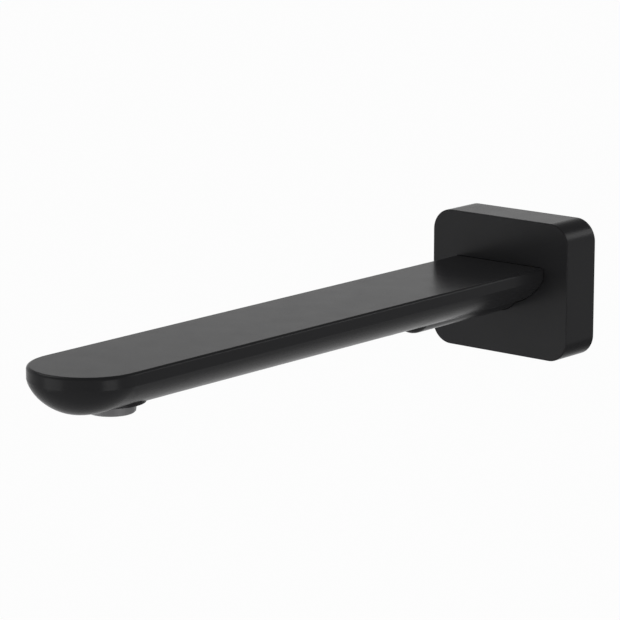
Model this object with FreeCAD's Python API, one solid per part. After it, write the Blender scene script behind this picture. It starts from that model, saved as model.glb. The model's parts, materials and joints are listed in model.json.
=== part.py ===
import FreeCAD, Part

import math
import os

# Wall-mounted bath spout with a flat top, a round-bellied section and a full round nose.
# Frame in millimetres: +X runs right along the wall as a bather sees it, +Y goes into the wall, +Z is up.
# The origin is on the inlet axis in the plane of the wall, which is also the centre of the cover plate.

# Spout body
reach = 220.0  # wall to the middle of the outlet
nose_overhang = 29.3  # outlet axis to the foremost point of the nose
body_width = 39.3
body_top = 8.6  # flat top above the inlet axis
body_thickness = 14.7
band_height = 4.25  # upright side band under the top face
strip_width = 4.3  # flat strip along the middle of the underside
nose_inset = 12.2  # how far the nose draws back under itself
nose_power = 1.65  # 2 makes the nose an ellipse from the side, less makes it flatter
top_edge_round = 1.1
body_levels = 8  # outlines that the round belly is lofted through

# Half-round ridge under the root of the body, which carries the socket
ridge_wall = 3.6  # metal under the socket
ridge_cover = 3.5  # socket's end to the front of the ridge
ridge_end_round = 2.5
ridge_blend = 1.5  # hollow round between the ridge and the belly

# Waterway cored in the casting
roof_thickness = 3.0
floor_thickness = 3.7
side_thickness = 7.15
core_gap = 7.0  # socket's end to the core
outlet_land = 15.0  # core's end to the outlet axis
throat_width = 12.0
throat_sill = 0.7  # aerator's seat to the throat's floor
passage_radius = 4.5  # drilled from the socket into the core

# Outlet boss and the seat of the aerator
boss_wall = 3.0
boss_recess = 1.1  # lowest line of the body to the boss's lower face
chamber_radius = 6.4

# Cover plate, a cast shell open to the wall
plate_width = 60.6
plate_height = 50.3
plate_depth = 16.8
plate_corner = 8.0
plate_wall = 3.0
plate_edge_round = 0.5
collar_setback = 0.3  # inner end of the collar to the rear end of the body
collar_wall = 2.0
collar_clearance = 0.2
grip_groove_depth = 1.3
grip_groove_width = 1.8
grip_groove_setback = 3.4  # plate face to the groove
grip_fit = 0.05

# Foam gasket in a rebate of the plate's rear rim
gasket_thickness = 1.5
gasket_width = 3.4
rim_land = 1.4  # metal rim outside the rebate
gasket_clearance = 0.1

# Wall spigot: thread for the wall fitting, hexagon, and a tube that carries the body
thread_radius = 10.478  # half of 20.955 mm, the outside of a half-inch pipe thread
thread_length = 14.0
thread_chamfer = 1.0
neck_depth = 1.3
hex_across_flats = 22.0
hex_thickness = 6.0
hex_to_body = 0.5
tube_radius = 5.5
tube_wall = 1.75
tube_reach = 66.0  # wall to the free end of the tube
tube_chamfer = 0.6
socket_clearance = 0.05
socket_end_gap = 1.0
socket_chamfer = 0.6
washer_thickness = 2.0
washer_clearance = 0.1

# Seals on the spigot's tube
o_ring_count = 2
o_ring_pitch = 6.0
o_ring_setback = 4.0  # free end of the tube to the first ring
o_ring_groove_depth = 1.05
o_ring_groove_width = 1.6
o_ring_fit = 0.02

# Grub screw through the ridge into a groove of the tube
screw_radius = 2.0
screw_length = 4.0
screw_from_wall = 32.0
screw_key = 2.0  # across the flats of its socket
screw_key_depth = 1.5
screw_fit = 0.05
screw_groove_depth = 1.0
screw_groove_width = 4.6

# Aerator, a stack of discs in a threaded shell
shell_radius = 8.1
shell_drop = 2.35  # below the lowest line of the body
shell_taper = 0.25
shell_wall = 1.2
shell_lip_width = 0.7
shell_lip_height = 0.7
shell_edge_round = 0.4
thread_clearance = 0.1
insert_clearance = 0.1
straightener_height = 2.8
straightener_rim = 0.75
cell_pitch = 1.75
cell_wall = 0.35
cell_rings = 3
screen_thickness = 0.3
screen_count = 2
screen_pitch = 1.9
screen_hole = 1.4
screen_rim = 1.0
jet_plate_height = 2.2
jet_floor = 0.8
jet_skirt = 0.9
jet_count = 8
jet_radius = 0.35
jet_channel_depth = 0.3
strainer_flange = 1.2
strainer_rise = 1.6
strainer_wall = 0.5
strainer_rim = 0.9
strainer_slots = 8
strainer_slot_width = 0.6
regulator_radius = 4.2
regulator_height = 1.1
regulator_floor = 0.4
regulator_rim = 0.5
regulator_seat = 0.5
regulator_post = 1.3
regulator_ports = 6
regulator_port_length = 1.2
regulator_port_width = 0.6
regulator_ring_width = 1.1
regulator_pin = 0.8
regulator_pin_clearance = 0.05
aerator_washer_thickness = 1.2
aerator_washer_width = 1.8

# Working allowances
least_corner = 0.5  # smallest corner of an inset outline
overcut = 1.0  # how far a cutting tool runs past the surface
tolerance = 0.01

# Places that follow from the sizes above
half_width = body_width / 2
body_bottom = body_top - body_thickness
crease_z = body_top - band_height
nose_tip_y = -(reach + nose_overhang)
strip_half = strip_width / 2
belly_run = half_width - strip_half
belly_drop = crease_z - body_bottom
belly_radius = (belly_run ** 2 + belly_drop ** 2) / (2 * belly_drop)
belly_centre_z = body_bottom + belly_radius
hex_back = -washer_thickness
hex_front = hex_back - hex_thickness
body_back = hex_front - hex_to_body
neck_radius = thread_radius - neck_depth
tube_bore = tube_radius - tube_wall
socket_radius = tube_radius + socket_clearance
socket_end = -(tube_reach + socket_end_gap)
ridge_radius = socket_radius + ridge_wall
ridge_end = socket_end - ridge_cover
core_top = body_top - roof_thickness
core_bottom = body_bottom + floor_thickness
core_start = socket_end - core_gap
core_end = -(reach - outlet_land)
plate_front = -plate_depth
collar_end = body_back - collar_setback
groove_start = plate_front + grip_groove_setback
groove_end = groove_start + grip_groove_width
shell_bottom = body_bottom - shell_drop
insert_radius = shell_radius - shell_wall - insert_clearance
straightener_z = shell_bottom + shell_lip_height
screens_z = straightener_z + straightener_height
jet_plate_z = screens_z + screen_count * screen_thickness
jet_plate_top = jet_plate_z + jet_plate_height
shell_top = jet_plate_top + strainer_flange
seat_z = shell_top + aerator_washer_thickness

UP = FreeCAD.Vector(0, 0, 1)
INTO_WALL = FreeCAD.Vector(0, 1, 0)
OUTLET = FreeCAD.Vector(0, -reach, 0)


def point(x, y, z):
    return FreeCAD.Vector(x, y, z)


def rod(radius, start, end):
    """Cylinder on the inlet axis between two distances along it."""
    return Part.makeCylinder(radius, end - start, point(0, start, 0), INTO_WALL)


def tube(outer, inner, start, end):
    """Pipe on the inlet axis."""
    return rod(outer, start, end).cut(rod(inner, start, end))


def disc(radius, low, high):
    """Upright cylinder on the outlet axis."""
    return Part.makeCylinder(radius, high - low, OUTLET + UP * low, UP)


def ring(outer, inner, low, high):
    """Upright pipe on the outlet axis."""
    return disc(outer, low, high).cut(disc(inner, low, high))


def turned(profile, at, axis, across):
    """Revolves a closed outline of (radius, distance along the axis) pairs."""
    corners = [at + across * r + axis * d for r, d in profile]
    face = Part.Face(Part.makePolygon(corners + corners[:1]))
    return face.revolve(at, axis, 360)


def hexagon(across_flats, at, axis, length):
    """Six-sided prism whose first flat faces up, or faces +X where the axis is upright."""
    flat_way = UP if abs(axis.z) < 0.5 else point(1, 0, 0)
    side_way = axis.cross(flat_way)
    corner = across_flats / math.sqrt(3)
    corners = []
    for k in range(6):
        a = math.radians(30 + 60 * k)
        corners.append(at + flat_way * (corner * math.cos(a)) + side_way * (corner * math.sin(a)))
    return Part.Face(Part.makePolygon(corners + corners[:1])).extrude(axis * length)


def rounded_rectangle(width, height, corner, y):
    """Face parallel to the wall with round corners."""
    x = width / 2
    z = height / 2
    bulge = corner * (1 - math.sqrt(0.5))
    edges = []
    for sx, sz in ((1, 1), (-1, 1), (-1, -1), (1, -1)):
        on_side = point(sx * x, y, sz * (z - corner))
        on_end = point(sx * (x - corner), y, sz * z)
        middle = point(sx * (x - bulge), y, sz * (z - bulge))
        ends = (on_side, on_end) if sx * sz > 0 else (on_end, on_side)
        if edges:
            edges.append(Part.LineSegment(edges[-1].EndPoint, ends[0]))
        edges.append(Part.Arc(ends[0], middle, ends[1]))
    edges.append(Part.LineSegment(edges[-1].EndPoint, edges[0].StartPoint))
    return Part.Face(Part.Wire([e.toShape() for e in edges]))


def ridge(grow, start, end):
    """Lower half of a rod on the inlet axis."""
    whole = rod(ridge_radius + grow, start, end)
    side = ridge_radius + grow + overcut
    return whole.cut(Part.makeBox(2 * side, end - start, side, point(-side, start, 0)))


def round_ended_ridge():
    """The body's ridge, with its front rim rounded off."""
    bar = ridge(0, ridge_end, body_back)
    front = [e for e in bar.Edges if e.BoundBox.YMax < ridge_end + tolerance]
    rim = [e for e in front if e.BoundBox.ZLength > tolerance]
    return bar.makeFillet(ridge_end_round, rim)


def blended(solid, grow):
    """Rounds the hollow lines where the ridge meets the belly, on the body or on its grown section."""
    blend = ridge_blend - grow
    if blend < tolerance:
        return solid
    lines = []
    for edge in solid.Edges:
        box = edge.BoundBox
        straight = box.XLength < tolerance and box.ZLength < tolerance and box.YLength > tolerance
        beside = strip_half + tolerance < abs(box.XMin) < ridge_radius + grow
        under = body_bottom - grow + tolerance < box.ZMin < -tolerance
        if straight and beside and under:
            lines.append(edge)
    return solid.makeFillet(blend, lines)


def shank(grow, start, end):
    """Straight length of the body's section with its ridge, grown evenly all round."""
    side = half_width + grow
    radius = belly_radius + grow
    lowest = body_bottom - grow
    side_angle = math.acos((side - strip_half) / radius)
    bend_angle = (side_angle + math.pi / 2) / 2
    top = body_top + grow
    corner = top_edge_round + grow
    bulge = corner * (1 - math.sqrt(0.5))

    def on_belly(way, angle):
        x = strip_half + radius * math.cos(angle)
        return point(way * x, start, belly_centre_z - radius * math.sin(angle))

    edges = [
        Part.LineSegment(point(side, start, top - corner), on_belly(1, side_angle)),
        Part.Arc(on_belly(1, side_angle), on_belly(1, bend_angle), point(strip_half, start, lowest)),
        Part.LineSegment(point(strip_half, start, lowest), point(-strip_half, start, lowest)),
        Part.Arc(point(-strip_half, start, lowest), on_belly(-1, bend_angle), on_belly(-1, side_angle)),
        Part.LineSegment(on_belly(-1, side_angle), point(-side, start, top - corner)),
        Part.Arc(
            point(-side, start, top - corner), point(-side + bulge, start, top - bulge),
            point(-side + corner, start, top),
        ),
        Part.LineSegment(point(-side + corner, start, top), point(side - corner, start, top)),
        Part.Arc(
            point(side - corner, start, top), point(side - bulge, start, top - bulge),
            point(side, start, top - corner),
        ),
    ]
    section = Part.Face(Part.Wire([e.toShape() for e in edges]))
    solid = section.extrude(INTO_WALL * (end - start)).fuse(ridge(grow, start, end)).removeSplitter()
    return blended(solid, grow)


def plan_outline(half, front, z):
    """Outline of the body seen from above at one height: two straight sides and a half-round nose."""
    centre_y = front + half
    slant = half * math.sqrt(0.5)
    right = point(half, centre_y, z)
    left = point(-half, centre_y, z)
    nose = point(0, front, z)
    back_right = point(half, body_back, z)
    back_left = point(-half, body_back, z)
    edges = [
        Part.LineSegment(back_right, right),
        Part.Arc(right, point(slant, centre_y - slant, z), nose),
        Part.Arc(nose, point(-slant, centre_y - slant, z), left),
        Part.LineSegment(left, back_left),
        Part.LineSegment(back_left, back_right),
    ]
    return Part.Wire([e.toShape() for e in edges])


def belly():
    """Everything under the crease: a loft down through outlines that narrow and draw back."""
    start = math.asin((belly_centre_z - crease_z) / belly_radius)
    outlines = []
    for k in range(body_levels + 1):
        angle = start + (math.pi / 2 - start) * k / body_levels
        half = strip_half + belly_radius * math.cos(angle)
        z = belly_centre_z - belly_radius * math.sin(angle)
        drop = min(max((crease_z - z) / belly_drop, 0.0), 1.0)
        inset = nose_inset * (1 - (1 - drop ** nose_power) ** (1 / nose_power))
        outlines.append(plan_outline(half, nose_tip_y + inset, z))
    return Part.makeLoft(outlines, True, False)


def top_band():
    """The upright band with the flat top and its small edge round."""
    band = Part.Face(plan_outline(half_width, nose_tip_y, crease_z)).extrude(UP * band_height)
    rim = []
    for edge in band.Edges:
        box = edge.BoundBox
        if box.ZMin > body_top - tolerance and box.YMin < body_back - tolerance:
            rim.append(edge)
    return band.makeFillet(min(top_edge_round, band_height / 2), rim)


def waterway():
    """Flat core with round sides, the throat over the outlet and the chamber above the aerator."""
    height = core_top - core_bottom
    round_side = height / 2
    flat_half = half_width - side_thickness - round_side
    length = core_start - core_end
    core = Part.makeBox(2 * flat_half, length, height, point(-flat_half, core_end, core_bottom))
    for x in (-flat_half, flat_half):
        side = Part.makeCylinder(round_side, length, point(x, core_end, core_bottom + round_side), INTO_WALL)
        core = core.fuse(side)
    throat_low = seat_z + throat_sill
    throat_length = 1.5 * outlet_land
    throat = Part.makeBox(
        throat_width, throat_length, core_top - throat_low, point(-throat_width / 2, -reach, throat_low),
    )
    return core.fuse([throat, disc(chamber_radius, seat_z, core_top)])


def spout_body():
    """Cast body, machined for the spigot, the aerator and the grub screw."""
    boss = disc(shell_radius + thread_clearance + boss_wall, body_bottom + boss_recess, crease_z)
    body = belly().fuse([top_band(), boss, round_ended_ridge()]).removeSplitter()
    body = blended(body, 0)
    socket = rod(socket_radius, socket_end, body_back)
    passage = rod(passage_radius, core_start - passage_radius, socket_end)
    mouth = Part.makeCone(
        socket_radius, socket_radius + socket_chamfer, socket_chamfer,
        point(0, body_back - socket_chamfer, 0), INTO_WALL,
    )
    aerator_bore = disc(shell_radius + thread_clearance, body_bottom - overcut, seat_z)
    screw_hole = Part.makeCylinder(
        screw_radius + screw_fit, ridge_radius, point(0, -screw_from_wall, -ridge_radius), UP,
    )
    return body.cut([socket, passage, mouth, waterway(), aerator_bore, screw_hole])


def plate_outline(inset, y):
    """Face inside the plate's outline, parallel to the wall."""
    corner = max(plate_corner - inset, least_corner)
    return rounded_rectangle(plate_width - 2 * inset, plate_height - 2 * inset, corner, y)


def cover_plate():
    """Shell with a shaped collar that slides along the body to the wall."""
    block = plate_outline(0, plate_front).extrude(INTO_WALL * plate_depth)
    front_rim = [e for e in block.Edges if e.BoundBox.YMax < plate_front + tolerance]
    block = block.makeFillet(plate_edge_round, front_rim)
    cavity_start = plate_front + plate_wall
    cavity = plate_outline(plate_wall, cavity_start).extrude(INTO_WALL * -cavity_start)
    rebate = plate_outline(rim_land, -gasket_thickness).extrude(INTO_WALL * gasket_thickness)
    collar = shank(collar_clearance + collar_wall, plate_front + plate_wall / 2, collar_end)
    aperture = shank(collar_clearance, plate_front - overcut, collar_end + overcut)
    groove = shank(grip_groove_depth, groove_start, groove_end)
    return block.cut([cavity, rebate]).fuse(collar).cut([aperture, groove])


def plate_grip_ring():
    """Rubber ring in the collar's groove that holds the plate on the body."""
    outside = shank(grip_groove_depth - grip_fit, groove_start + grip_fit, groove_end - grip_fit)
    return outside.cut(shank(grip_fit, groove_start, groove_end))


def plate_gasket():
    """Foam ring that lies in the rebate and meets the wall."""
    inset = rim_land + gasket_clearance
    outside = plate_outline(inset, -gasket_thickness)
    inside = plate_outline(inset + gasket_width, -gasket_thickness)
    return outside.cut(inside).extrude(INTO_WALL * gasket_thickness)


def o_ring_places():
    return [-tube_reach + o_ring_setback + k * o_ring_pitch for k in range(o_ring_count)]


def wall_spigot():
    """Turned brass spigot: thread, neck, hexagon and the grooved tube."""
    nut = hexagon(hex_across_flats, point(0, hex_front, 0), INTO_WALL, hex_thickness)
    neck = rod(neck_radius, hex_back, 0)
    thread_end = thread_length - thread_chamfer
    thread = rod(thread_radius, 0, thread_end)
    lead = Part.makeCone(
        thread_radius, thread_radius - thread_chamfer, thread_chamfer, point(0, thread_end, 0), INTO_WALL,
    )
    stem = rod(tube_radius, -tube_reach + tube_chamfer, hex_front)
    nose = Part.makeCone(
        tube_radius - tube_chamfer, tube_radius, tube_chamfer, point(0, -tube_reach, 0), INTO_WALL,
    )
    body = nut.fuse([neck, thread, lead, stem, nose])
    grooves = [(y, o_ring_groove_width, o_ring_groove_depth) for y in o_ring_places()]
    grooves.append((-screw_from_wall, screw_groove_width, screw_groove_depth))
    for y, width, depth in grooves:
        body = body.cut(tube(tube_radius + overcut, tube_radius - depth, y - width / 2, y + width / 2))
    return body.cut(rod(tube_bore, -tube_reach, thread_length))


def squeezed_ring(inner, outer, at, axis, across):
    """Rubber ring with a six-sided section, flat against its groove and against its mate."""
    middle = (inner + outer) / 2
    flat_half = (outer - inner) * math.tan(math.radians(30)) / 2
    profile = [
        (inner, -flat_half),
        (middle, -2 * flat_half),
        (outer, -flat_half),
        (outer, flat_half),
        (middle, 2 * flat_half),
        (inner, flat_half),
    ]
    return turned(profile, at, axis, across)


def spigot_washer():
    """Rubber washer between the hexagon and the wall fitting."""
    return tube(hex_across_flats / 2, neck_radius + washer_clearance, -washer_thickness, 0)


def spigot_o_ring(y):
    """Rubber ring squeezed between its groove and the socket."""
    inner = tube_radius - o_ring_groove_depth + o_ring_fit
    outer = socket_radius - o_ring_fit
    return squeezed_ring(inner, outer, point(0, y, 0), INTO_WALL, UP)


def grub_screw():
    """Headless screw with a hexagon socket and a cup point."""
    tip = -(tube_radius - screw_groove_depth)
    foot = tip - screw_length
    at = point(0, -screw_from_wall, foot)
    screw = Part.makeCylinder(screw_radius, screw_length, at, UP)
    key = hexagon(screw_key, at, UP, screw_key_depth)
    cup_depth = screw_radius / 4
    cup = Part.makeCone(0, screw_radius / 2, cup_depth, at + UP * (screw_length - cup_depth), UP)
    return screw.cut([key, cup])


def aerator_shell():
    """Threaded sleeve whose tapered foot shows under the boss."""
    foot_radius = shell_radius - shell_taper
    lip_radius = insert_radius + insert_clearance - shell_lip_width
    bore = insert_radius + insert_clearance
    profile = [
        (lip_radius, shell_bottom),
        (foot_radius - shell_edge_round, shell_bottom),
        (foot_radius, shell_bottom + shell_edge_round),
        (shell_radius, body_bottom),
        (shell_radius, shell_top),
        (bore, shell_top),
        (bore, straightener_z),
        (lip_radius, straightener_z),
    ]
    return turned(profile, OUTLET, UP, point(1, 0, 0))


def stream_straightener():
    """Honeycomb disc that the water leaves through."""
    keep_radius = insert_radius - straightener_rim
    blank = disc(insert_radius, straightener_z, screens_z)
    cells = []
    for row in range(-cell_rings, cell_rings + 1):
        for column in range(-cell_rings, cell_rings + 1):
            if abs(row + column) > cell_rings:
                continue
            x = cell_pitch * (column + row / 2)
            y = cell_pitch * row * math.sqrt(3) / 2
            if math.hypot(x, y) < keep_radius:
                at = OUTLET + point(x, y, straightener_z)
                cells.append(hexagon(cell_pitch - cell_wall, at, UP, straightener_height))
    keep = disc(keep_radius, straightener_z, screens_z)
    return blank.cut([cell.common(keep) for cell in cells])


def mixing_screen(index):
    """Thin disc with a grid of square holes, turned an eighth of a turn from the next one."""
    low = screens_z + index * screen_thickness
    plate = disc(insert_radius, low, low + screen_thickness)
    field = insert_radius - screen_rim
    steps = int(field / screen_pitch)
    holes = []
    for i in range(-steps, steps + 1):
        for j in range(-steps, steps + 1):
            x = i * screen_pitch
            y = j * screen_pitch
            if math.hypot(abs(x) + screen_hole / 2, abs(y) + screen_hole / 2) > field:
                continue
            corner = OUTLET + point(x - screen_hole / 2, y - screen_hole / 2, low)
            holes.append(Part.makeBox(screen_hole, screen_hole, screen_thickness, corner))
    screen = plate.cut(holes)
    screen.rotate(OUTLET, UP, 45 * index)
    return screen


def around_outlet(radius, count):
    """Evenly spaced places on a circle about the outlet axis."""
    for k in range(count):
        a = 2 * math.pi * k / count
        yield OUTLET + point(radius * math.cos(a), radius * math.sin(a), 0), math.degrees(a)


def jet_plate():
    """Cup with a channel under the regulator and fine jets from it into the open mixing space."""
    cup = disc(insert_radius, jet_plate_z, jet_plate_top)
    space = disc(insert_radius - jet_skirt, jet_plate_z, jet_plate_top - jet_floor)
    channel_outer = regulator_radius - regulator_seat
    channel = ring(channel_outer, regulator_post, jet_plate_top - jet_channel_depth, jet_plate_top)
    tools = [space, channel]
    for at, _ in around_outlet((channel_outer + regulator_post) / 2, jet_count):
        tools.append(Part.makeCylinder(jet_radius, jet_plate_height, at + UP * jet_plate_z, UP))
    tools.append(disc(regulator_pin + regulator_pin_clearance, jet_plate_z, jet_plate_top))
    return cup.cut(tools)


def flow_regulator():
    """Small tray with a post, slots in its floor and a pin that snaps into the jet plate."""
    low = jet_plate_top
    floor_top = low + regulator_floor
    top = low + regulator_height
    tray = disc(regulator_radius, low, top)
    tray = tray.cut(ring(regulator_radius - regulator_rim, regulator_post, floor_top, top))
    tray = tray.fuse(disc(regulator_pin, low - jet_floor, low))
    middle = (regulator_radius - regulator_rim + regulator_post) / 2
    ports = []
    for _, turn in around_outlet(middle, regulator_ports):
        corner = point(middle - regulator_port_width / 2, -regulator_port_length / 2, low)
        port = Part.makeBox(regulator_port_width, regulator_port_length, regulator_floor, OUTLET + corner)
        port.rotate(OUTLET, UP, turn)
        ports.append(port)
    return tray.cut(ports)


def flow_regulator_o_ring():
    """Soft ring round the regulator's post that narrows the ports as the pressure rises."""
    z = jet_plate_top + regulator_floor + regulator_ring_width * math.tan(math.radians(30))
    outer = regulator_post + regulator_ring_width
    return squeezed_ring(regulator_post, outer, OUTLET + UP * z, UP, point(1, 0, 0))


def inlet_strainer():
    """Flanged cap with radial slots that keeps grit out of the jets."""
    base = jet_plate_top
    top = shell_top + strainer_rise
    cap_radius = insert_radius - strainer_rim
    flange = disc(insert_radius, base, shell_top)
    slope = strainer_rise - strainer_wall
    dome = Part.makeCone(cap_radius, cap_radius - slope, slope, OUTLET + UP * shell_top, UP)
    lid = disc(cap_radius - slope, top - strainer_wall, top)
    hollow = disc(cap_radius - strainer_wall, base, shell_top)
    hollow_dome = Part.makeCone(
        cap_radius - strainer_wall, cap_radius - slope - strainer_wall, slope, OUTLET + UP * shell_top, UP,
    )
    cap = flange.fuse([dome, lid]).cut([hollow, hollow_dome])
    slots = []
    inner_end = cap_radius / 3
    outer_end = cap_radius - slope / 2
    for _, turn in around_outlet(0, strainer_slots):
        slot = Part.makeBox(
            outer_end - inner_end, strainer_slot_width, top - shell_top,
            OUTLET + point(inner_end, -strainer_slot_width / 2, shell_top),
        )
        slot.rotate(OUTLET, UP, turn)
        slots.append(slot)
    return cap.cut(slots)


def aerator_washer():
    """Flat rubber washer between the aerator and its seat in the body."""
    return ring(shell_radius, shell_radius - aerator_washer_width, shell_top, seat_z)


def main():
    os.makedirs("parts", exist_ok=True)
    parts = {
        "spout_body": spout_body(),
        "cover_plate": cover_plate(),
        "plate_grip_ring": plate_grip_ring(),
        "plate_gasket": plate_gasket(),
        "wall_spigot": wall_spigot(),
        "spigot_washer": spigot_washer(),
        "grub_screw": grub_screw(),
        "aerator_shell": aerator_shell(),
        "stream_straightener": stream_straightener(),
        "jet_plate": jet_plate(),
        "flow_regulator": flow_regulator(),
        "flow_regulator_o_ring": flow_regulator_o_ring(),
        "inlet_strainer": inlet_strainer(),
        "aerator_washer": aerator_washer(),
    }
    for number, y in enumerate(o_ring_places(), 1):
        parts[f"spigot_o_ring_{number}"] = spigot_o_ring(y)
    for index in range(screen_count):
        parts[f"mixing_screen_{index + 1}"] = mixing_screen(index)
    for name, shape in parts.items():
        shape.exportStep(f"parts/{name}.step")
        print(f"{name}: {len(shape.Solids)} solid, {shape.Volume:.1f} cubic mm, valid {shape.isValid()}")


main()
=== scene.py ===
"""Looks of a wall-mounted bath spout in matt black coated brass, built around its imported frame.

Everything is in metres in the frame of the part: +X right along the wall, +Y into the wall, +Z up, with
the origin on the inlet axis in the plane of the wall.
"""
import json
import logging
import math
from collections.abc import Callable
from dataclasses import dataclass
from enum import Enum

import bpy
from mathutils import Matrix, Vector


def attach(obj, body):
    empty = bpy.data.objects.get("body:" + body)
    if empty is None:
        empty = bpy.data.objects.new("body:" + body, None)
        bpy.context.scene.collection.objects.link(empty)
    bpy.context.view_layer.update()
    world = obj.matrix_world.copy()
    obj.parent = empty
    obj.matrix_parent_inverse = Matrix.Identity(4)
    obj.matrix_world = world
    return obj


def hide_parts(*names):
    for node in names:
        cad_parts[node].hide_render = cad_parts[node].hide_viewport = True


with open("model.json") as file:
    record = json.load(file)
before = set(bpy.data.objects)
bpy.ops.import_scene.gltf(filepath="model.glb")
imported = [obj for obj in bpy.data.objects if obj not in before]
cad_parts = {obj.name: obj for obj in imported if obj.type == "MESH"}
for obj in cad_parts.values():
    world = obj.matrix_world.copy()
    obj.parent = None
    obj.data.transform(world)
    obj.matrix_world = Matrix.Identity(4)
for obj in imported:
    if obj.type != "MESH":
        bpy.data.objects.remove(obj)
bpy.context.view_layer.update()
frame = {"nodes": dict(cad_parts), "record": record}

MM = 0.001
BODY = "root"
WHITE = (1.0, 1.0, 1.0, 1.0)

# Vertices nearer to each other than this are merged
WELD = 0.001 * MM
# A vertex this near to a cut already lies on it
CUT_THRESHOLD = 0.0001 * MM

# Sockets of a Mix node: its factor, its two numbers, its two colours, and its mixed colour
FACTOR = 0
NUMBER_A = 2
NUMBER_B = 3
COLOUR_A = 6
COLOUR_B = 7
COLOUR_OUT = 2

log = logging.getLogger("bath_spout")


class Slot(Enum):
    """Finishes of the part, by the names that its record gives them."""

    BLACK_COATED_BRASS = "black_coated_brass"
    BLACK_RUBBER = "black_rubber"
    GREY_FOAM = "grey_foam"
    BARE_BRASS = "bare_brass"
    STAINLESS_STEEL = "stainless_steel"
    GREY_ACETAL = "grey_acetal"
    WHITE_ACETAL = "white_acetal"


NODE_SLOTS = {entry["node"]: Slot(entry["material_slot"]) for entry in frame["record"]["subparts"]}


# Colours and shader nodes


def linear(hex_colour: str) -> tuple[float, float, float, float]:
    """Turns an sRGB hex colour into the linear values that shaders take.

    Args:
        hex_colour: six hex digits with a leading hash.

    Returns:
        Red, green, blue and an alpha of 1.
    """
    channels = [int(hex_colour[i:i + 2], 16) / 255 for i in (1, 3, 5)]
    values = [c / 12.92 if c <= 0.04045 else ((c + 0.055) / 1.055) ** 2.4 for c in channels]
    return (*values, 1.0)


def add_node(
    tree: bpy.types.NodeTree, kind: str, links: dict | None = None, **settings: object,
) -> bpy.types.Node:
    """Adds a shader node with its settings, values and links.

    Args:
        tree: the node tree that gets the node.
        kind: the node's type name.
        links: input name or index to a value or to the output socket that feeds it.
        settings: attributes of the node.

    Returns:
        The new node.
    """
    node = tree.nodes.new(kind)
    for name, value in settings.items():
        setattr(node, name, value)
    for name, value in (links or {}).items():
        if isinstance(value, bpy.types.NodeSocket):
            tree.links.new(value, node.inputs[name])
        else:
            node.inputs[name].default_value = value
    return node


def new_material(name: str) -> tuple[bpy.types.Material, bpy.types.NodeTree]:
    """Makes an empty node material.

    Args:
        name: the material's name.

    Returns:
        The material and its node tree.
    """
    material = bpy.data.materials.new(name)
    material.use_nodes = True
    material.node_tree.nodes.clear()
    return material, material.node_tree


@dataclass(frozen=True)
class CoatedBrass:
    """Matt black electrophoretic coat, baked on cast and polished brass.

    The coat is thin and even, so edges stay crisp. Seen steeply it is a deep soft black. Seen along the
    surface it turns to a grey satin sheen. The bath leaves a faint orange peel, and the polish under it a
    faint cloudiness. The real coat's grain is finer, and it is drawn this coarse to show. The roughness and
    the index of refraction are fitted to the photograph's brightness under this studio's lamps: a real coat's
    index is about 1.5.
    """

    colour: str = "#262627"
    roughness: float = 0.24
    roughness_spread: float = 0.015
    cloud_mm: float = 9.0
    # The noise between these two values becomes the whole spread of roughness
    cloud_low: float = 0.3
    cloud_high: float = 0.7
    peel_mm: float = 1.6
    peel_height_mm: float = 0.003
    grain_mm: float = 0.35
    grain_height_mm: float = 0.002
    ior: float = 1.115

    def build(self) -> bpy.types.Material:
        """Builds the coat from its clouds, its orange peel and its grain.

        Returns:
            The finished material.
        """
        material, tree = new_material("matt_black_coated_brass")
        place = add_node(tree, "ShaderNodeTexCoord").outputs["Object"]
        cloud = add_node(tree, "ShaderNodeTexNoise", {
            "Vector": place,
            "Scale": 1 / (self.cloud_mm * MM),
            "Detail": 4.0,
        })
        rough = add_node(tree, "ShaderNodeMapRange", {
            "Value": cloud.outputs["Fac"],
            "From Min": self.cloud_low,
            "From Max": self.cloud_high,
            "To Min": self.roughness - self.roughness_spread,
            "To Max": self.roughness + self.roughness_spread,
        })
        peel = add_node(tree, "ShaderNodeTexNoise", {
            "Vector": place,
            "Scale": 1 / (self.peel_mm * MM),
            "Detail": 1.0,
        })
        waves = add_node(tree, "ShaderNodeBump", {
            "Height": peel.outputs["Fac"],
            "Distance": self.peel_height_mm * MM,
        })
        grain = add_node(tree, "ShaderNodeTexNoise", {
            "Vector": place,
            "Scale": 1 / (self.grain_mm * MM),
            "Detail": 2.0,
        })
        bump = add_node(tree, "ShaderNodeBump", {
            "Height": grain.outputs["Fac"],
            "Distance": self.grain_height_mm * MM,
            "Normal": waves.outputs["Normal"],
        })
        shader = add_node(tree, "ShaderNodeBsdfPrincipled", {
            "Base Color": linear(self.colour),
            "Roughness": rough.outputs["Result"],
            "Normal": bump.outputs["Normal"],
            "IOR": self.ior,
        })
        add_node(tree, "ShaderNodeOutputMaterial", {"Surface": shader.outputs["BSDF"]})
        return material


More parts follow.
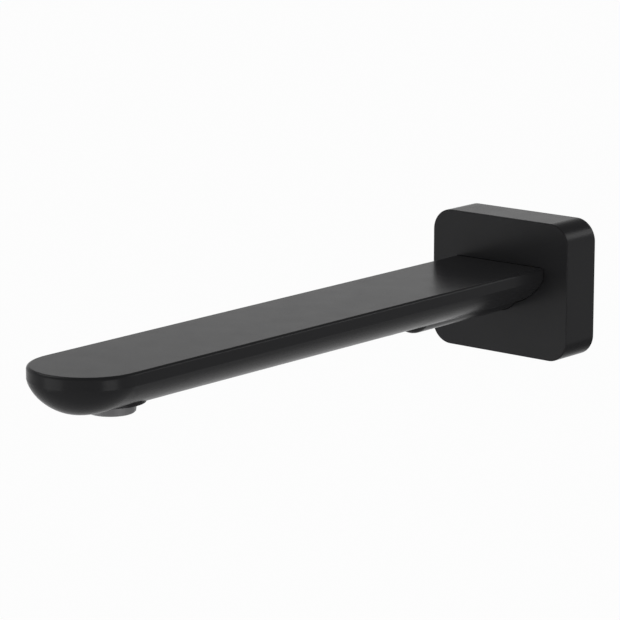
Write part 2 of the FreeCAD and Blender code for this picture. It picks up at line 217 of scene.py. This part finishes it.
@dataclass(frozen=True)
class TurnedMetal:
    """Metal turned on a lathe: fine rings round the axis that runs into the wall stretch its highlights.

    A finishing cut leaves its marks about 0.1 mm apart, and they are drawn four times as far apart to show.
    """

    name: str
    colour: str
    roughness: float
    ring_mm: float = 0.4
    ring_height_mm: float = 0.006
    along_ring: float = 0.05
    # The smoothest and roughest places, as multiples of the roughness
    smoothest: float = 0.8
    roughest: float = 1.25

    def build(self) -> bpy.types.Material:
        """Builds the metal from noise that is drawn out along the rings.

        Returns:
            The finished material.
        """
        material, tree = new_material(self.name)
        place = add_node(tree, "ShaderNodeTexCoord").outputs["Object"]
        turned = add_node(tree, "ShaderNodeMapping", {
            "Vector": place,
            "Scale": (self.along_ring, 1.0, self.along_ring),
        })
        rings = add_node(tree, "ShaderNodeTexNoise", {
            "Vector": turned.outputs["Vector"],
            "Scale": 1 / (self.ring_mm * MM),
            "Detail": 3.0,
        })
        rough = add_node(tree, "ShaderNodeMapRange", {
            "Value": rings.outputs["Fac"],
            "To Min": self.roughness * self.smoothest,
            "To Max": self.roughness * self.roughest,
        })
        bump = add_node(tree, "ShaderNodeBump", {
            "Height": rings.outputs["Fac"],
            "Distance": self.ring_height_mm * MM,
        })
        shader = add_node(tree, "ShaderNodeBsdfPrincipled", {
            "Base Color": linear(self.colour),
            "Metallic": 1.0,
            "Roughness": rough.outputs["Result"],
            "Normal": bump.outputs["Normal"],
        })
        add_node(tree, "ShaderNodeOutputMaterial", {"Surface": shader.outputs["BSDF"]})
        return material


@dataclass(frozen=True)
class Moulded:
    """Moulded rubber or plastic: one colour with the fine skin texture that its mould leaves.

    The real texture is finer, and it is drawn this coarse to show.
    """

    name: str
    colour: str
    roughness: float
    grain_mm: float
    grain_height_mm: float
    ior: float
    # The smoothest and roughest places, as multiples of the roughness
    smoothest: float = 0.9
    roughest: float = 1.15

    def build(self) -> bpy.types.Material:
        """Builds the moulded skin.

        Returns:
            The finished material.
        """
        material, tree = new_material(self.name)
        place = add_node(tree, "ShaderNodeTexCoord").outputs["Object"]
        grain = add_node(tree, "ShaderNodeTexNoise", {
            "Vector": place,
            "Scale": 1 / (self.grain_mm * MM),
            "Detail": 3.0,
        })
        rough = add_node(tree, "ShaderNodeMapRange", {
            "Value": grain.outputs["Fac"],
            "To Min": self.roughness * self.smoothest,
            "To Max": min(self.roughness * self.roughest, 1.0),
        })
        bump = add_node(tree, "ShaderNodeBump", {
            "Height": grain.outputs["Fac"],
            "Distance": self.grain_height_mm * MM,
        })
        shader = add_node(tree, "ShaderNodeBsdfPrincipled", {
            "Base Color": linear(self.colour),
            "Roughness": rough.outputs["Result"],
            "Normal": bump.outputs["Normal"],
            "IOR": self.ior,
        })
        add_node(tree, "ShaderNodeOutputMaterial", {"Surface": shader.outputs["BSDF"]})
        return material


@dataclass(frozen=True)
class CutFoam:
    """Closed-cell polyethylene foam, cut from sheet: dull, with the open pits of the cells that were cut.

    Real cells are about 0.5 mm wide, and they are drawn at that size.
    """

    colour: str = "#5a5a5c"
    # Painted shade: the pits are drawn darker than the foam, for the shade that falls in them
    pit_shade_colour: str = "#39393b"
    roughness: float = 0.9
    cell_mm: float = 0.5
    # A pit ends this share of a cell's width from the cell's middle
    pit_reach: float = 0.55
    pit_depth_mm: float = 0.15
    ior: float = 1.45

    def build(self) -> bpy.types.Material:
        """Builds the foam from cells that are deep in the middle, with painted shade that makes the pits
        darker.

        Returns:
            The finished material.
        """
        material, tree = new_material("closed_cell_polyethylene_foam")
        place = add_node(tree, "ShaderNodeTexCoord").outputs["Object"]
        cells = add_node(tree, "ShaderNodeTexVoronoi", {"Vector": place, "Scale": 1 / (self.cell_mm * MM)})
        skin = add_node(tree, "ShaderNodeMapRange", {
            "Value": cells.outputs["Distance"],
            "From Max": self.pit_reach,
        })
        # Painted shade: the pit colour darkens the middle of each cell
        colour = add_node(tree, "ShaderNodeMix", {
            FACTOR: skin.outputs["Result"],
            COLOUR_A: linear(self.pit_shade_colour),
            COLOUR_B: linear(self.colour),
        }, data_type="RGBA")
        bump = add_node(tree, "ShaderNodeBump", {
            "Height": skin.outputs["Result"],
            "Distance": self.pit_depth_mm * MM,
        })
        shader = add_node(tree, "ShaderNodeBsdfPrincipled", {
            "Base Color": colour.outputs[COLOUR_OUT],
            "Roughness": self.roughness,
            "Normal": bump.outputs["Normal"],
            "IOR": self.ior,
        })
        add_node(tree, "ShaderNodeOutputMaterial", {"Surface": shader.outputs["BSDF"]})
        return material


FINISHES = {
    Slot.BLACK_COATED_BRASS: CoatedBrass(),
    # Nitrile rubber, moulded: dull black and almost without a highlight
    Slot.BLACK_RUBBER: Moulded("moulded_nitrile_rubber", "#1b1b1b", 0.7, 0.5, 0.01, 1.52),
    Slot.GREY_FOAM: CutFoam(),
    # Free-cutting brass, turned and left bare: warm yellow with lathe rings
    Slot.BARE_BRASS: TurnedMetal("turned_brass", "#c8a55f", 0.3),
    # Stainless steel, drawn or turned: cool grey with a soft shine
    Slot.STAINLESS_STEEL: TurnedMetal("drawn_stainless_steel", "#b8babc", 0.32),
    # Acetal, moulded in grey: smooth with a waxy sheen
    Slot.GREY_ACETAL: Moulded("moulded_grey_acetal", "#616162", 0.45, 0.4, 0.003, 1.48),
    # Acetal, moulded in its natural white: smooth with a waxy sheen
    Slot.WHITE_ACETAL: Moulded("moulded_white_acetal", "#e6e5df", 0.4, 0.4, 0.003, 1.48),
}


# Modelling by hand


def select_only(*pieces: bpy.types.Object) -> None:
    """Selects some objects and nothing else, in object mode, with the first one active.

    Args:
        pieces: the objects.
    """
    bpy.ops.object.select_all(action="DESELECT")
    for piece in pieces:
        piece.select_set(True)
    bpy.context.view_layer.objects.active = pieces[0]


def pick(piece: bpy.types.Object, test: Callable[[Vector], bool]) -> None:
    """Selects, in edit mode, the vertices whose place passes a test.

    Args:
        piece: the active object, in edit mode.
        test: says whether a vertex at a place is taken.
    """
    bpy.ops.mesh.select_mode(type="VERT")
    bpy.ops.mesh.select_all(action="DESELECT")
    bpy.ops.object.mode_set(mode="OBJECT")
    for vertex in piece.data.vertices:
        vertex.select = test(vertex.co)
    bpy.ops.object.mode_set(mode="EDIT")


def apply_modifier(piece: bpy.types.Object, kind: str, **settings: object) -> None:
    """Gives the active object a modifier and applies it.

    Args:
        piece: the active object.
        kind: the modifier's type.
        settings: attributes of the modifier.
    """
    modifier = piece.modifiers.new(kind.lower(), kind)
    for name, value in settings.items():
        setattr(modifier, name, value)
    bpy.ops.object.modifier_apply(modifier=modifier.name)


def smooth(piece: bpy.types.Object, degrees: float) -> None:
    """Shades an object smooth across edges that bend less than an angle.

    Args:
        piece: the object.
        degrees: the angle.
    """
    select_only(piece)
    bpy.ops.object.shade_smooth_by_angle(angle=math.radians(degrees))


@dataclass(frozen=True)
class ScrewThread:
    """Helical groove that a die cuts into a rod, in millimetres."""

    pitch: float
    depth: float
    root_flat: float
    crest_flat: float
    turns: int
    steps: int = 40
    # How far the groove's solid stands out of the rod
    proud: float = 0.08
    smooth_to_deg: float = 25.0

    def cutter(self, radius: float, place: Matrix) -> bpy.types.Object:
        """Models the groove as a solid: one flank shape, swept up a helix round the rod's axis.

        Args:
            radius: the rod's outside radius.
            place: turns the local Z axis on to the rod's axis and moves the origin to the groove's start.

        Returns:
            The solid to be cut away.
        """
        tall = (self.depth + self.proud) * MM
        slope = (self.pitch - self.crest_flat - self.root_flat) / 2 / self.depth
        wide = (self.root_flat + 2 * slope * (self.depth + self.proud)) * MM
        bpy.ops.object.select_all(action="DESELECT")
        bpy.ops.mesh.primitive_plane_add(size=1.0, rotation=(math.radians(90), 0, 0))
        groove = bpy.context.object
        groove.name = "thread_groove"
        bpy.ops.object.transform_apply(location=False, rotation=True, scale=False)
        bpy.ops.object.mode_set(mode="EDIT")
        bpy.ops.transform.resize(value=(tall, 1.0, wide), center_override=(0, 0, 0))
        pick(groove, lambda at: at.x < 0)
        narrow = self.root_flat * MM / wide
        bpy.ops.transform.resize(value=(1.0, 1.0, narrow), center_override=(0, 0, 0))
        bpy.ops.mesh.select_all(action="SELECT")
        bpy.ops.transform.translate(value=((radius - self.depth) * MM + tall / 2, 0, 0))
        bpy.ops.mesh.delete(type="ONLY_FACE")
        bpy.ops.object.mode_set(mode="OBJECT")
        apply_modifier(
            groove, "SCREW", axis="Z", angle=math.tau, screw_offset=self.pitch * MM, iterations=self.turns,
            steps=self.steps, render_steps=self.steps,
        )
        bpy.ops.object.mode_set(mode="EDIT")
        bpy.ops.mesh.select_all(action="SELECT")
        bpy.ops.mesh.fill_holes(sides=4)
        bpy.ops.mesh.select_all(action="SELECT")
        bpy.ops.mesh.normals_make_consistent(inside=False)
        bpy.ops.object.mode_set(mode="OBJECT")
        groove.matrix_world = place
        return groove

    def cut(self, node: str, name: str, radius: float, place: Matrix) -> bpy.types.Object:
        """Cuts the thread into a copy of a CAD node's mesh.

        Args:
            node: the CAD node that is the plain rod.
            name: name of the threaded piece.
            radius: the rod's outside radius.
            place: as for the cutter.

        Returns:
            The threaded piece.
        """
        groove = self.cutter(radius, place)
        piece = bpy.data.objects.new(name, frame["nodes"][node].data.copy())
        bpy.context.scene.collection.objects.link(piece)
        select_only(piece)
        bpy.ops.mesh.customdata_custom_splitnormals_clear()
        bpy.ops.object.mode_set(mode="EDIT")
        bpy.ops.mesh.select_all(action="SELECT")
        bpy.ops.mesh.remove_doubles(threshold=WELD)
        bpy.ops.object.mode_set(mode="OBJECT")
        apply_modifier(piece, "BOOLEAN", object=groove, operation="DIFFERENCE", solver="EXACT")
        bpy.data.objects.remove(groove)
        smooth(piece, self.smooth_to_deg)
        return piece


# The sub-assemblies


@dataclass
class SubAssembly:
    """Pieces that are fitted together, and the finishes they are given."""

    materials: dict[Slot, bpy.types.Material]

    def dress(self, *nodes: str) -> None:
        """Gives CAD nodes whose shape is final the material of their slot.

        Args:
            nodes: the nodes.
        """
        for node in nodes:
            mesh = frame["nodes"][node].data
            mesh.materials.clear()
            mesh.materials.append(self.materials[NODE_SLOTS[node]])
            log.info("dressed %s in %s", node, NODE_SLOTS[node].value)

    def fit(self, piece: bpy.types.Object, node: str) -> None:
        """Lets a modelled piece stand for a CAD node, in the same finish.

        Args:
            piece: the modelled piece.
            node: the node that it stands for.
        """
        piece.data.materials.clear()
        piece.data.materials.append(self.materials[NODE_SLOTS[node]])
        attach(piece, BODY)
        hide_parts(node)
        log.info("modelled %s with %d faces for %s", piece.name, len(piece.data.polygons), node)


@dataclass
class SpoutCasting(SubAssembly):
    """The coated casting and the grub screw that clamps it to the spigot, in millimetres."""

    screw_radius: float = 2.0
    screw_from_wall: float = 32.0
    screw_foot: float = -8.5
    screw_thread: ScrewThread = ScrewThread(
        pitch=0.7, depth=0.43, root_flat=0.175, crest_flat=0.0875, turns=8, steps=24,
    )

    def build(self) -> None:
        """Dresses the casting and threads the grub screw."""
        self.dress("spout_body")
        start = self.screw_foot - self.screw_thread.pitch
        place = Matrix.Translation(Vector((0, -self.screw_from_wall, start)) * MM)
        screw = self.screw_thread.cut("grub_screw", "threaded_grub_screw", self.screw_radius, place)
        self.fit(screw, "grub_screw")


@dataclass
class CoverPlate(SubAssembly):
    """The coated plate against the wall, with its rubber ring and foam gasket."""

    def build(self) -> None:
        """Dresses the three pieces, whose shapes are final."""
        self.dress("cover_plate", "plate_grip_ring", "plate_gasket")


@dataclass
class WallSpigot(SubAssembly):
    """The turned brass spigot with its half-inch pipe thread, washer and rubber rings, in millimetres."""

    thread_radius: float = 10.478
    thread_start: float = -1.9
    pipe_thread: ScrewThread = ScrewThread(
        pitch=1.814, depth=1.162, root_flat=0.302, crest_flat=0.302, turns=9,
    )

    def build(self) -> None:
        """Threads the spigot and dresses its seals."""
        into_wall = Matrix.Rotation(math.radians(-90), 4, "X")
        place = Matrix.Translation((0, self.thread_start * MM, 0)) @ into_wall
        spigot = self.pipe_thread.cut("wall_spigot", "threaded_spigot", self.thread_radius, place)
        self.fit(spigot, "wall_spigot")
        self.dress("spigot_washer", "spigot_o_ring_1", "spigot_o_ring_2")


@dataclass
class Aerator(SubAssembly):
    """The stack of discs in a grey sleeve under the tip, with two woven screens, in millimetres."""

    outlet_from_wall: float = 220.0
    screen_radius: float = 6.7
    lowest_screen: float = -4.95
    screen_thickness: float = 0.3
    screens: int = 2
    turn_per_screen_deg: float = 45.0
    wire: float = 0.145
    wire_pitch: float = 0.6
    wire_sides: int = 6
    wave_steps: int = 4
    spare_crossings: int = 2
    smooth_to_deg: float = 50.0

    def wavy_wire(self) -> bpy.types.Object:
        """Models one crimped wire that runs over and under its neighbours.

        Returns:
            The wire, along X through the origin.
        """
        crossings = math.ceil(self.screen_radius / self.wire_pitch) + self.spare_crossings
        rise = (self.screen_thickness - self.wire) / 2
        length = self.wire_pitch / self.wave_steps
        bpy.ops.object.select_all(action="DESELECT")
        bpy.ops.mesh.primitive_circle_add(
            vertices=self.wire_sides, radius=self.wire / 2 * MM, rotation=(0, math.radians(90), 0),
            location=(-crossings * self.wire_pitch * MM, 0, rise * math.cos(math.pi * crossings) * MM),
        )
        wire = bpy.context.object
        bpy.ops.object.transform_apply()
        bpy.ops.object.mode_set(mode="EDIT")
        bpy.ops.mesh.select_all(action="SELECT")
        for step in range(2 * crossings * self.wave_steps):
            before = math.cos(math.pi * (step / self.wave_steps - crossings))
            after = math.cos(math.pi * ((step + 1) / self.wave_steps - crossings))
            bpy.ops.mesh.extrude_region_move(
                TRANSFORM_OT_translate={"value": (length * MM, 0, rise * (after - before) * MM)},
            )
        bpy.ops.object.mode_set(mode="OBJECT")
        return wire

    def trimmed_wire(self, wire: bpy.types.Object, row: int, across: bool) -> bpy.types.Object:
        """Copies the wire to its row in the weave and snips its ends to the disc.

        Args:
            wire: the wire that is copied.
            row: rows from the disc's middle.
            across: whether it runs along Y, over and under those that run along X.

        Returns:
            The wire in its place about the origin.
        """
        copy = bpy.data.objects.new("screen_wire", wire.data.copy())
        bpy.context.scene.collection.objects.link(copy)
        shift = self.wire_pitch * MM
        copy.location = (shift * (row % 2), shift * row, 0)
        select_only(copy)
        bpy.ops.object.transform_apply()
        reach = math.sqrt(self.screen_radius ** 2 - (row * self.wire_pitch) ** 2) * MM
        bpy.ops.object.mode_set(mode="EDIT")
        for way in (-1, 1):
            bpy.ops.mesh.select_all(action="SELECT")
            bpy.ops.mesh.bisect(
                plane_co=(way * reach, 0, 0), plane_no=(way, 0, 0), use_fill=True, clear_outer=True,
                threshold=CUT_THRESHOLD,
            )
        bpy.ops.mesh.select_all(action="SELECT")
        bpy.ops.mesh.normals_make_consistent(inside=False)
        bpy.ops.object.mode_set(mode="OBJECT")
        if across:
            copy.matrix_world = Matrix.Rotation(math.radians(90), 4, "Z") @ Matrix.Rotation(math.pi, 4, "X")
            bpy.ops.object.transform_apply()
        return copy

    def woven_screen(self, number: int) -> bpy.types.Object:
        """Weaves one screen of stainless wire and lays it in the stack.

        Args:
            number: 0 for the lower screen, 1 for the upper one, which is laid an eighth of a turn round.

        Returns:
            The screen.
        """
        wire = self.wavy_wire()
        rows = int((self.screen_radius - self.wire) / self.wire_pitch)
        weave = [
            self.trimmed_wire(wire, row, across)
            for across in (False, True)
            for row in range(-rows, rows + 1)
        ]
        bpy.data.objects.remove(wire)
        select_only(*weave)
        bpy.ops.object.join()
        screen = bpy.context.object
        screen.name = f"woven_screen_{number + 1}"
        height = self.lowest_screen + (number + 0.5) * self.screen_thickness
        lift = Matrix.Translation(Vector((0, -self.outlet_from_wall, height)) * MM)
        turn = Matrix.Rotation(math.radians(self.turn_per_screen_deg * number), 4, "Z")
        screen.matrix_world = lift @ turn
        bpy.ops.object.transform_apply()
        smooth(screen, self.smooth_to_deg)
        return screen

    def build(self) -> None:
        """Dresses the moulded discs and weaves the screens."""
        self.dress(
            "aerator_shell", "stream_straightener", "jet_plate", "flow_regulator", "flow_regulator_o_ring",
            "inlet_strainer", "aerator_washer",
        )
        for number in range(self.screens):
            self.fit(self.woven_screen(number), f"mixing_screen_{number + 1}")


# The studio


@dataclass
class PhotoCamera:
    """Long lens from the front right and a little above, as the photograph was taken."""

    azimuth_deg: float = 40.22
    elevation_deg: float = 12.19
    distance: float = 1.13882
    aim_right: float = -0.07947
    aim_up: float = -0.01186
    lens_mm: float = 180.0
    sensor_mm: float = 36.0
    sees_to: float = 50.0

    def build(self) -> bpy.types.Object:
        """Places the camera and makes it the scene's own.

        Returns:
            The camera object.
        """
        a = math.radians(self.azimuth_deg)
        e = math.radians(self.elevation_deg)
        back = Vector((math.sin(a) * math.cos(e), -math.cos(a) * math.cos(e), math.sin(e)))
        right = Vector((math.cos(a), math.sin(a), 0))
        up = back.cross(right)
        aim = right * self.aim_right + up * self.aim_up
        data = bpy.data.cameras.new("photo_camera")
        data.sensor_width = self.sensor_mm
        data.lens = self.lens_mm
        data.clip_end = self.sees_to
        camera = bpy.data.objects.new("photo_camera", data)
        turn = Matrix((right, up, back)).transposed().to_4x4()
        camera.matrix_world = Matrix.Translation(aim + back * self.distance) @ turn
        bpy.context.scene.collection.objects.link(camera)
        bpy.context.scene.camera = camera
        return camera


@dataclass(frozen=True)
class SoftBox:
    """Rectangular studio lamp that points at a spot."""

    name: str
    place: tuple[float, float, float]
    target: tuple[float, float, float]
    size: tuple[float, float]
    watts: float

    def build(self) -> bpy.types.Object:
        """Adds the lamp, unseen by the camera.

        Returns:
            The lamp object.
        """
        data = bpy.data.lights.new(self.name, "AREA")
        data.shape = "RECTANGLE"
        data.size, data.size_y = self.size
        data.energy = self.watts
        lamp = bpy.data.objects.new(self.name, data)
        aim = Vector(self.target) - Vector(self.place)
        turn = aim.to_track_quat("-Z", "Y").to_matrix().to_4x4()
        lamp.matrix_world = Matrix.Translation(Vector(self.place)) @ turn
        lamp.visible_camera = False
        bpy.context.scene.collection.objects.link(lamp)
        return lamp


LAMPS = (
    SoftBox("left_softbox", place=(-0.66, -1.57, -0.26), target=(0, -0.23, 0), size=(1.0, 0.9), watts=11.2),
    SoftBox("right_softbox", place=(1.27, -0.37, -0.28), target=(0, -0.23, 0), size=(0.6, 0.45), watts=5.4),
    SoftBox("rear_softbox", place=(0.845, 1.114, 0.603), target=(0, -0.05, 0), size=(1.2, 0.38), watts=6.9),
    SoftBox("overhead_softbox", place=(-0.95, -0.4, 1.15), target=(0, -0.1, 0), size=(0.9, 0.7), watts=8.5),
)


@dataclass
class Studio:
    """White sweep: a pale floor well below the spout, white surroundings and soft lamps.

    The camera sees floor and surroundings almost plain white. In reflections the surroundings darken
    overhead, and the floor has a dark patch behind the spout on the right, which the belly mirrors just under
    its crease. The strengths were tuned until the render's brightness came near the photograph's.
    """

    paper: str = "#e4e4e4"
    floor_z: float = -1.3
    floor_size: float = 24.0
    floor_cells: int = 4
    # How much of the floor's own shading the camera sees
    shadow_share: float = 0.03
    # Strength of the surroundings as a light, and overhead in reflections
    fill: float = 0.35
    overhead: float = 0.12
    # Heights above the horizon between which the reflected surroundings darken
    bright_to_deg: float = 14.0
    dark_from_deg: float = 34.0
    # Middle of the floor's dark patch, how far it is fully dark, where it ends, and its strength
    dark_patch_at: tuple[float, float] = (1.2, 2.2)
    dark_patch_core: float = 0.8
    dark_patch_edge: float = 1.9
    dark_patch_strength: float = 0.05
    lamps: tuple[SoftBox, ...] = LAMPS

    def direct_view(self, tree: bpy.types.NodeTree) -> bpy.types.NodeSocket:
        """Adds nodes that are 1 for what the camera sees straight, in gloss or through glass.

        Args:
            tree: the tree that gets the nodes.

        Returns:
            The socket with that factor.
        """
        path = add_node(tree, "ShaderNodeLightPath")
        first = add_node(tree, "ShaderNodeMath", {
            0: path.outputs["Is Camera Ray"], 1: path.outputs["Is Glossy Ray"],
        }, operation="MAXIMUM")
        both = add_node(tree, "ShaderNodeMath", {
            0: first.outputs[0], 1: path.outputs["Is Transmission Ray"],
        }, operation="MAXIMUM")
        return both.outputs[0]

    def build_floor(self) -> bpy.types.Object:
        """Lays the pale floor, with the dark patch that only reflections see.

        Returns:
            The floor object.
        """
        bpy.ops.object.select_all(action="DESELECT")
        bpy.ops.mesh.primitive_grid_add(
            x_subdivisions=self.floor_cells, y_subdivisions=self.floor_cells, size=self.floor_size,
            location=(0, 0, self.floor_z),
        )
        floor = bpy.context.object
        floor.name = "studio_floor"
        material, tree = new_material("white_paper_sweep")
        paper = add_node(tree, "ShaderNodeBsdfDiffuse", {"Color": linear(self.paper)})
        place = add_node(tree, "ShaderNodeTexCoord").outputs["Object"]
        middle = (*self.dark_patch_at, 0)
        away = add_node(tree, "ShaderNodeVectorMath", {0: place, 1: middle}, operation="DISTANCE")
        patch = add_node(tree, "ShaderNodeMapRange", {
            "Value": away.outputs["Value"],
            "From Min": self.dark_patch_core,
            "From Max": self.dark_patch_edge,
            "To Min": self.dark_patch_strength,
            "To Max": 1.0,
        })
        gloss = add_node(tree, "ShaderNodeLightPath").outputs["Is Glossy Ray"]
        strength = add_node(tree, "ShaderNodeMix", {
            FACTOR: gloss, NUMBER_A: 1.0, NUMBER_B: patch.outputs["Result"],
        })
        white = add_node(tree, "ShaderNodeEmission", {"Color": WHITE, "Strength": strength.outputs[0]})
        share = add_node(tree, "ShaderNodeMath", {
            0: self.direct_view(tree), 1: 1 - self.shadow_share,
        }, operation="MULTIPLY")
        mixed = add_node(tree, "ShaderNodeMixShader", {
            0: share.outputs[0], 1: paper.outputs[0], 2: white.outputs[0],
        })
        add_node(tree, "ShaderNodeOutputMaterial", {"Surface": mixed.outputs[0]})
        floor.data.materials.append(material)
        return floor

    def build_surround(self) -> None:
        """Sets the world: white to look at, darker overhead in reflections, and a plain grey as a light."""
        world = bpy.data.worlds.new("white_surround")
        bpy.context.scene.world = world
        world.use_nodes = True
        tree = world.node_tree
        tree.nodes.clear()
        path = add_node(tree, "ShaderNodeLightPath")
        way = add_node(tree, "ShaderNodeTexCoord").outputs["Generated"]
        height = add_node(tree, "ShaderNodeSeparateXYZ", {"Vector": way}).outputs["Z"]
        reflected = add_node(tree, "ShaderNodeMapRange", {
            "Value": height,
            "From Min": math.sin(math.radians(self.bright_to_deg)),
            "From Max": math.sin(math.radians(self.dark_from_deg)),
            "To Min": 1.0,
            "To Max": self.overhead,
        })
        lit = add_node(tree, "ShaderNodeMix", {
            FACTOR: path.outputs["Is Glossy Ray"], NUMBER_A: self.fill, NUMBER_B: reflected.outputs["Result"],
        })
        straight = add_node(tree, "ShaderNodeMath", {
            0: path.outputs["Is Camera Ray"], 1: path.outputs["Is Transmission Ray"],
        }, operation="MAXIMUM")
        strength = add_node(tree, "ShaderNodeMix", {
            FACTOR: straight.outputs[0], NUMBER_A: lit.outputs[0], NUMBER_B: 1.0,
        })
        light = add_node(tree, "ShaderNodeBackground", {"Color": WHITE, "Strength": strength.outputs[0]})
        add_node(tree, "ShaderNodeOutputWorld", {"Surface": light.outputs[0]})

    def build(self) -> None:
        """Builds the floor, surround, lamps and camera."""
        bpy.context.scene.view_settings.view_transform = "Standard"
        self.build_floor()
        self.build_surround()
        for lamp in self.lamps:
            lamp.build()
        PhotoCamera().build()


def main() -> None:
    """Builds the sub-assemblies in order, then the studio."""
    logging.basicConfig(level=logging.INFO, format="%(name)s: %(message)s")
    materials = {slot: finish.build() for slot, finish in FINISHES.items()}
    for sub_assembly in (SpoutCasting, CoverPlate, WallSpigot, Aerator):
        sub_assembly(materials).build()
    Studio().build()


if __name__ == "__main__":
    main()
